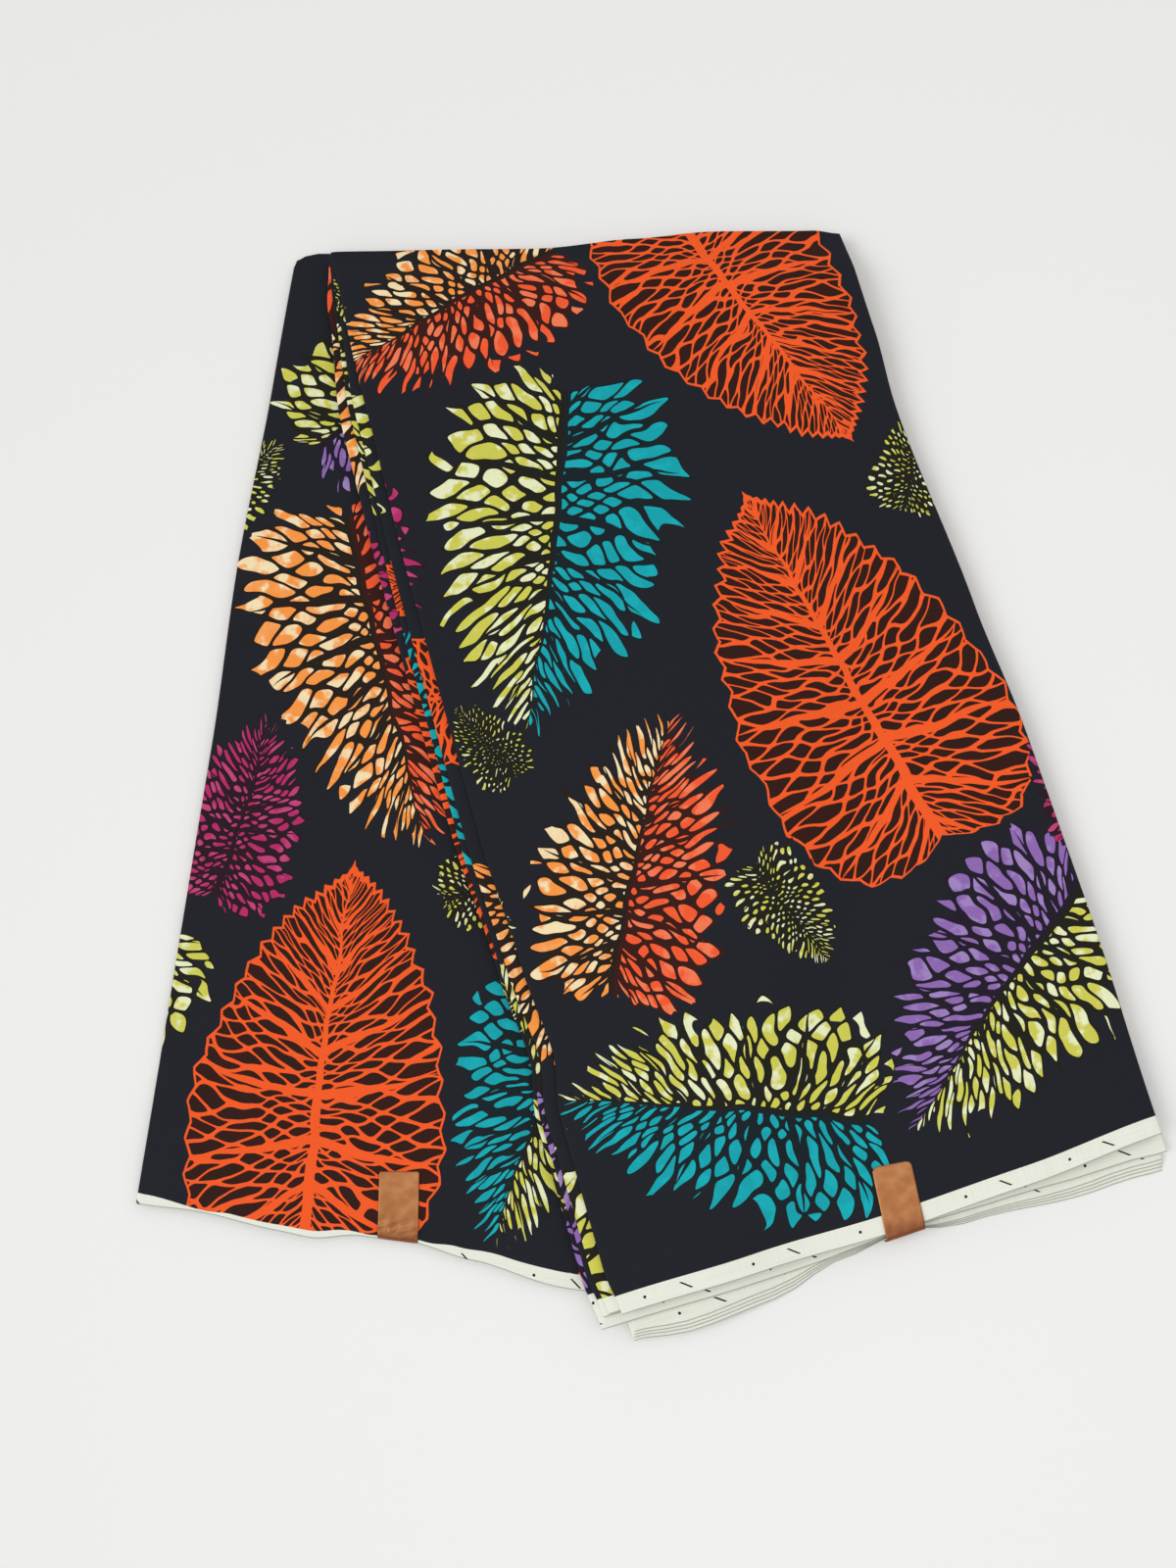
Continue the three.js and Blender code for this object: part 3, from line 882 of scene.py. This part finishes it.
# ---- The cotton ----------------------------------
def leaf_print(tree, mottling):
    """The printed colour: leaves on the ground, each a net of veins that cross, with cells between."""
    across, up, length = split(attribute(tree, "leaf_place"))
    left_ink, right_ink, number = split(attribute(tree, "leaf_make"))
    apart = number * NOISE_STEPS["leaf"]
    waves = noise(join(across / SWAY["over"], up / SWAY["over"], apart), 2.0, "Color")
    sway_x, sway_y, _ = split(waves)
    x = (across + (sway_x - 0.5) * SWAY["far"]) / length
    y = (up + (sway_y - 0.5) * SWAY["far"]) / length
    side, off = x.math("SIGN"), x.size()
    ink = left_ink + (right_ink - left_ink) * (x > 0)
    root = vein_root(off, y)

    # Two sets of veins cross at a slant, so the cells between them are long and pointed.
    is_net = ink < 0.5
    wide = is_net * (NET_WIDE - CELL_WIDE) + CELL_WIDE
    over = root / wide
    along = off.math("POWER", CELL_GROWTH) * CELLS_ALONG
    wander_along = along / DRIFT["along"] + side * NOISE_STEPS["half"]
    wander = noise(join(over / DRIFT["across"], wander_along, apart), 1.0, "Color")
    drift_1, drift_2, _ = split(wander)
    drift_1 = (drift_1 - 0.5) * DRIFT["far"]
    drift_2 = (drift_2 - 0.5) * DRIFT["far"]
    first = over + along + drift_1
    second = over - along + drift_2
    from_first, from_second = first.from_line(1), second.from_line(1)
    to_vein = from_first * from_second / (from_first + from_second + LEAST["vein"])

    # Only cells whose middle is inside the leaf are printed, so that its edge is jagged.
    column, row = first.math("FLOOR"), second.math("FLOOR")
    cell_root = (column + row + 1 - drift_1 - drift_2) * wide * 0.5
    cell_along = (column - row - drift_1 + drift_2) / (2 * CELLS_ALONG)
    cell_off = cell_along.either(LEAST["cell"]).math("POWER", 1 / CELL_GROWTH)
    reach = reach_at(root)
    whole_cells = (cell_off < reach_at(cell_root)).both(off < reach * JAGS["share"] + JAGS["more"])

    # A net leaf has a toothed edge instead, with a vein along it.
    tooth = ((root / TEETH["apart"]).math("FRACT") - 0.5).size() * TEETH["high"]
    toothed = reach + tooth * (reach * TEETH["growth"]).both(1)
    rim = (toothed - off) * length < TEETH["rim"]
    inside = whole_cells * (is_net * -1 + 1) + (off < toothed) * is_net

    near = (off / (reach + LEAST["reach"])).both(1) * -1 + 1
    thinnest = wide.math("POWER", -1) * VEINS["thinnest"] / length
    vein_wide = (thinnest + near * VEINS["growth"] + VEINS["edge"]) * (is_net * (VEINS["net"] - 1) + 1)
    from_side_vein = (root + drift_1 * SIDE_VEINS["drift"]).from_line(SIDE_VEINS["apart"])
    side_vein = from_side_vein < near * SIDE_VEINS["wide"]
    midrib = off < (y * -1 + MIDRIB["ends"]) * MIDRIB["wide"]
    veins = (to_vein < vein_wide).either(side_vein).either(midrib).either(rim * is_net)

    place = join(column, row, number + side)
    tone = node_of(tree, "ShaderNodeTexWhiteNoise", ["Value"], Vector=place)
    uneven = mottling + (tone - 0.5) * MOTTLING["cell"]
    mottled = uneven.rises(MOTTLING["from"], MOTTLING["to"])
    cells = mix(mottled, ink_colour(ink, "cells"), ink_colour(ink, "mottled"))
    leaf = mix(veins, cells, ink_colour(ink, "veins"))
    return mix(inside, colour(GROUND), leaf)


def selvage_marks(u, past):
    """Where small marks are printed on the selvage, in rows: slanted strokes, and dots between them."""
    row = (past / MARKS["rows"]).math("FLOOR")
    up = ((past / MARKS["rows"]).math("FRACT") - 0.5) * MARKS["rows"]
    along = u + row * MARKS["moved"]
    from_stroke = (along + up * STROKE["slant"]).from_line(MARKS["apart"])
    stroke = (from_stroke < STROKE["half_wide"]).both(up.size() < STROKE["half_high"])
    to_dot = (along + MARKS["apart"] * DOT["at"]).from_line(MARKS["apart"])
    dot = to_dot * to_dot + up * up < DOT["radius"] ** 2
    return stroke.either(dot)


def printed_cotton():
    """Wax print cotton: the print, an unprinted selvage, a plain weave and a soft sheen."""
    material, tree, shader = new_material("printed_cotton")
    u, v, _ = split(node_of(tree, "ShaderNodeUVMap", ["UV"], {"uv_map": "cloth"}))
    mottling = noise(join(u / MOTTLING["patch"], v / MOTTLING["patch"], u * 0), 2.0)
    printed = leaf_print(tree, mottling)

    apart, slub = THREADS["apart"], THREADS["slub"]
    slub_u = noise(join(u / slub, v / apart, u * 0), 1.0)
    slub_v = noise(join(u / apart, v / slub, u * 0 + NOISE_STEPS["threads"]), 1.0)
    slubs = slub_u + slub_v - 1
    from_hem, past_selvage, _ = split(attribute(tree, "hem_place"))
    # Painted shade: the cut hem, the slit between the plies and a thin line along the hem are painted a
    # darker grey, over the selvage's densely woven outermost threads.
    inside = from_hem.rises(OUTERMOST["from"], OUTERMOST["to"])
    pale = inside * (1 - OUTERMOST["least"]) + OUTERMOST["least"]
    selvage = mix(pale, colour(SELVAGE_EDGE_SHADE), colour(SELVAGE))
    selvage = mix(selvage_marks(u, past_selvage), selvage, colour(MARK))
    cloth = mix(past_selvage > 0, selvage, printed)
    tone = slubs * THREADS["tone"] + 1
    uneven = node_of(tree, "ShaderNodeHueSaturation", ["Color"], Value=tone, Color=cloth)
    weave = u.wave(apart) * v.wave(apart)
    height = weave * THREADS["weave"] + slubs * THREADS["slubs"]
    bump = node_of(tree, "ShaderNodeBump", ["Normal"], Strength=0.35, Distance=0.00008, Height=height)
    plug(tree, shader.inputs["Base Color"], uneven)
    plug(tree, shader.inputs["Roughness"], slubs * THREADS["rough"] + 0.7)
    plug(tree, shader.inputs["Normal"], bump)
    shader.inputs["Specular IOR Level"].default_value = 0.18
    shader.inputs["Sheen Weight"].default_value = 0.02
    shader.inputs["Sheen Roughness"].default_value = 0.5
    return material


# ---- The foil labels -----------------------------
# Folded over the hems. "share" is of the hem, "turn" is about +Z in degrees, "on_top" is how far up from
# the hem it reaches, "past" is how far out of the hem it folds down, "round" is the radius of its top
# corners, and "crinkled" is how high its dents are.
LABEL = {"wide": 22.4, "thick": 0.3, "lift": 0.45, "footing": 0.9, "bend": 2.2}
LABEL_POINTS = {"down": 60, "across": 25}
# The dents are where two waves cross. A wave turns by a radian in each "down" millimetres down the label,
# and by "turn" radians from its middle to a side.
CRINKLES = [{"down": 2.1, "turn": 1.7}, {"down": 7, "turn": 5}]
CRINKLED = {"above": 4, "reach": 5}  # where they are deepest above the hem, and how far they reach
FOLLOWS = 12  # how far above the hem a label fully follows the panel's creases
LABELS = [
    {
        "name": "label_left",
        "bundle": LEFT,
        "share": 0.497,
        "turn": 0,
        "on_top": 37,
        "past": 0.5,
        "round": 0.8,
        "crinkled": 0.9,
    },
    {
        "name": "label_front",
        "bundle": FRONT,
        "share": 0.513,
        "turn": 10.5,
        "on_top": 35.4,
        "past": 3.6,
        "round": 3.2,
        "crinkled": 0.25,
    },
]


def label_foil():
    """Copper-brown foil with soft dents, painted darker in their hollows and lighter on their crests as
    painted shade and highlight, and painted shade where it folds over the hem.
    """
    material, tree, shader = new_material("label_foil")
    u, v, _ = split(node_of(tree, "ShaderNodeUVMap", ["UV"], {"uv_map": "label"}))
    dents = noise(join(u / DENTS["across"], v / DENTS["down"], u * 0), 2.0)
    grain = noise(join(u / GRAIN["size"], v / GRAIN["size"], u * 0), 2.0)
    tone = dents * (1 - GRAIN["tone"]) + grain * GRAIN["tone"]
    # Painted shade and highlight: darker where the bump's dents and grain are low, lighter where they are
    # high.
    dent_shade_and_highlight = mix(tone.rises(*FOIL_TONES), colour(FOIL["dark"]), colour(FOIL["light"]))
    # Painted shade: the foil is painted darker where it folds down over the hem.
    plug(tree, shader.inputs["Base Color"], mix(v.rises(*FOIL_FOLD), dent_shade_and_highlight, colour(FOIL["folded"])))
    plug(tree, shader.inputs["Roughness"], grain * GRAIN["rough"] + 0.3)
    height = dents + grain * GRAIN["high"]
    bump = node_of(tree, "ShaderNodeBump", ["Normal"], Strength=0.45, Distance=0.0006, Height=height)
    plug(tree, shader.inputs["Normal"], bump)
    shader.inputs["Metallic"].default_value = 0.45
    return material


def label_points(label):
    """The grid of a label's points, down it and across it, and each point's place on the flat strip."""
    bundle = label["bundle"]
    layers = LEFT_LAYERS if bundle is LEFT else FRONT_LAYERS
    top = stack_height(layers) - CLEARANCE + LABEL["lift"]
    half = LABEL["wide"] / 2 / math.dist(bundle["hem_left"], bundle["hem_right"])
    shares = [label["share"], label["share"] - half, label["share"] + half]
    hem, left, right = edge_points(bundle, "hem", shares)
    hem_turn = math.atan2(*(right - left)[::-1])
    turn = math.radians(label["turn"])

    # The strip folds down where it passes the hem, which may be slanted to it.
    share_down = np.linspace(0, 1, LABEL_POINTS["down"])[:, None]
    share_across = np.linspace(-1, 1, LABEL_POINTS["across"])
    bend = LABEL["bend"]
    slant = LABEL["wide"] / 2 * share_across * math.tan(hem_turn - turn)
    flat_run = label["on_top"] + label["past"] - bend - slant
    arc_run = math.pi / 2 * bend
    drop = max(top - bend - LABEL["footing"], 0)
    run = share_down * (flat_run + arc_run + drop)
    corner = label["round"]
    cut_in = corner - np.sqrt(np.maximum(corner**2 - np.maximum(corner - run, 0) ** 2, 0))
    side = (LABEL["wide"] / 2 - cut_in) * share_across

    angle = np.clip((run - flat_run) / bend, 0, math.pi / 2)
    out = np.minimum(run, flat_run) - label["on_top"] + bend * np.sin(angle)
    up = top - bend * (1 - np.cos(angle)) - np.maximum(run - flat_run - arc_run, 0)
    across_way = np.array((math.cos(turn), math.sin(turn)))
    down_way = np.array((math.sin(turn), -math.cos(turn)))
    xy = hem + side[..., None] * across_way + out[..., None] * down_way
    first, second = (run / wave["down"] + share_across * wave["turn"] for wave in CRINKLES)
    dent = np.sin(first) * np.cos(second)
    near_hem = np.exp(-(((run - flat_run + CRINKLED["above"]) / CRINKLED["reach"]) ** 2))
    on_panel = smooth((flat_run - run) / FOLLOWS)
    z = up + label["crinkled"] * np.abs(dent) * near_hem + relief(xy) * on_panel
    return np.concatenate((xy, z[..., None]), -1), np.stack((side, run - label["on_top"]), -1)


def build_label(label, material):
    """A strip that lies on the top panel, turns over the hem and runs down its cut edges."""
    points, flat = label_points(label)
    mesh = bpy.data.meshes.new(label["name"] + "_foil")
    index = np.arange(points.shape[0] * points.shape[1]).reshape(points.shape[:2])
    quads = np.stack((index[:-1, :-1], index[1:, :-1], index[1:, 1:], index[:-1, 1:]), -1).reshape(-1, 4)
    mesh.from_pydata((points * MM).reshape(-1, 3).tolist(), [], quads.tolist())
    uv = flat.reshape(-1, 2)[quads.ravel()]
    mesh.uv_layers.new(name="label").uv.foreach_set("vector", uv.astype(np.float32).ravel())
    mesh.materials.append(material)
    mesh.shade_smooth()
    piece = add_object(mesh.name, mesh)
    solid = piece.modifiers.new("thickness", "SOLIDIFY")
    solid.thickness = LABEL["thick"] * MM
    solid.offset = 1
    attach(piece, "root")
    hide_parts(label["name"])


# ---- Stage ---------------------------------------
# In metres and degrees. The lights shine at the origin.
FLOOR = {"reach": 20, "below": 0.0002}
LIGHTS = [
    {"name": "key", "kind": "SUN", "at": (-1, -0.2, 0.9), "energy": 1.15, "angle": 35},
    {"name": "fill", "kind": "SUN", "at": (0.9, 0.6, 1.2), "energy": 0.35, "angle": 60},
    {"name": "lamp", "kind": "AREA", "at": (0.05, -0.4, 1.25), "energy": 2.8, "size": 0.7},
]


def build_floor():
    """A plain pale floor, just below the surface that the cloth lies on."""
    material, _, shader = new_material("floor")
    shader.inputs["Base Color"].default_value = colour(0xEDEDEB)
    shader.inputs["Roughness"].default_value = 0.9
    shader.inputs["Specular IOR Level"].default_value = 0.1
    mesh = bpy.data.meshes.new("floor")
    corners = [
        (x * FLOOR["reach"], y * FLOOR["reach"], -FLOOR["below"])
        for x, y in ((-1, -1), (1, -1), (1, 1), (-1, 1))
    ]
    mesh.from_pydata(corners, [], [(0, 1, 2, 3)])
    mesh.materials.append(material)
    floor = add_object("floor", mesh)


def build_lights():
    """Soft light from all round, from two wide suns and from a lamp above."""
    world = bpy.data.worlds.new("studio")
    world.use_nodes = True
    background = world.node_tree.nodes["Background"]
    background.inputs["Color"].default_value = (1, 1, 1, 1)
    background.inputs["Strength"].default_value = 0.55
    bpy.context.scene.world = world
    for row in LIGHTS:
        light = bpy.data.lights.new(row["name"], row["kind"])
        light.energy = row["energy"]
        if row["kind"] == "SUN":
            light.angle = math.radians(row["angle"])
        else:
            light.size = row["size"]
        source = add_object(row["name"], light)
        source.location = row["at"]
        source.rotation_euler = (-Vector(row["at"])).to_track_quat("-Z", "Y").to_euler()


def build_camera():
    scene = bpy.context.scene
    camera = add_object("camera", bpy.data.cameras.new("camera"))
    camera.data.sensor_width = SENSOR
    camera.data.lens = LENS
    camera.data.clip_start = 0.01
    away = Vector((0, -math.sin(CAMERA_TILT), math.cos(CAMERA_TILT)))
    camera.location = Vector(CAMERA_AIM) + CAMERA_DISTANCE * away
    camera.rotation_euler = (CAMERA_TILT, 0, 0)
    scene.camera = camera
    scene.view_settings.view_transform = "Standard"


# ---- The whole -----------------------------------
build_floor()
build_lights()
build_camera()
cotton = printed_cotton()
build_bundle(LEFT, LEFT_LAYERS, surface, cotton)
build_bundle(FRONT, FRONT_LAYERS, front_rest, cotton)
foil = label_foil()
for label in LABELS:
    build_label(label, foil)
